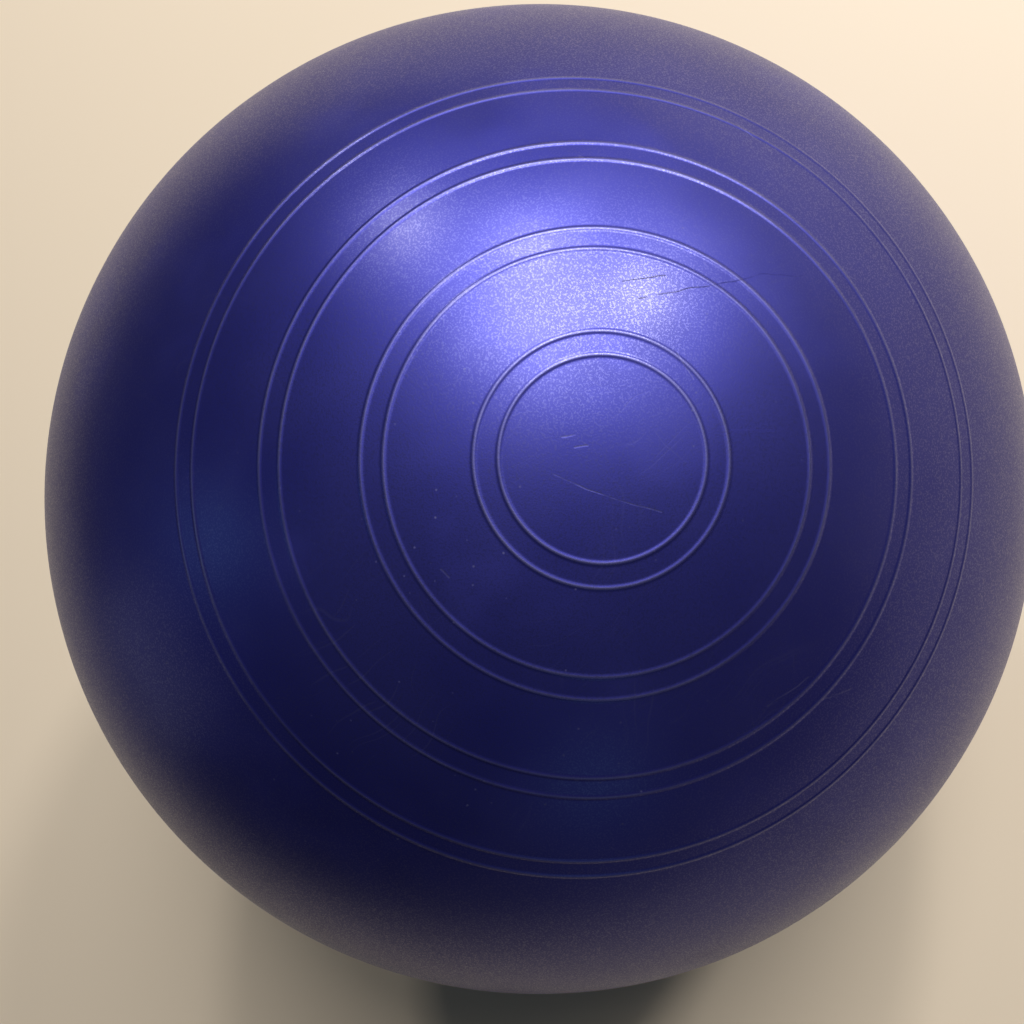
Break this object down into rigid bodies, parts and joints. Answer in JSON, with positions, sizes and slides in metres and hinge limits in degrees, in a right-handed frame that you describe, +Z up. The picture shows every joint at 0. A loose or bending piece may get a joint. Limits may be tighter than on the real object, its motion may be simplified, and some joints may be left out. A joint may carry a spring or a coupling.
{
  "type": "exercise ball",
  "caption": "Inflated exercise ball with pairs of raised rings round its poles, a recessed valve and a pull-out stopper plug, resting on a small flat.",
  "frame": {"origin": "middle of the flat that the ball rests on, at floor height", "axes": "+Z up from the floor; -Y is the front, to which the ringed pole leans 24.5 degrees from straight up; the valve is at the opposite pole, low at the back; +X to the right seen from the front"},
  "size_m": [0.6504, 0.6498, 0.6478],
  "materials": {
    "skin": "satin",
    "valve": "satin",
    "plug": "satin"
  },
  "bodies": {
    "ball": {"ball_skin": "skin", "valve_body": "valve"},
    "plug": {"valve_plug": "plug"}
  },
  "joints": [
    {"name": "plug_pull", "type": "slide", "parent": "ball", "child": "plug", "axis": [0, 0.4147, -0.91], "range_m": [0, 0.02]}
  ]
}
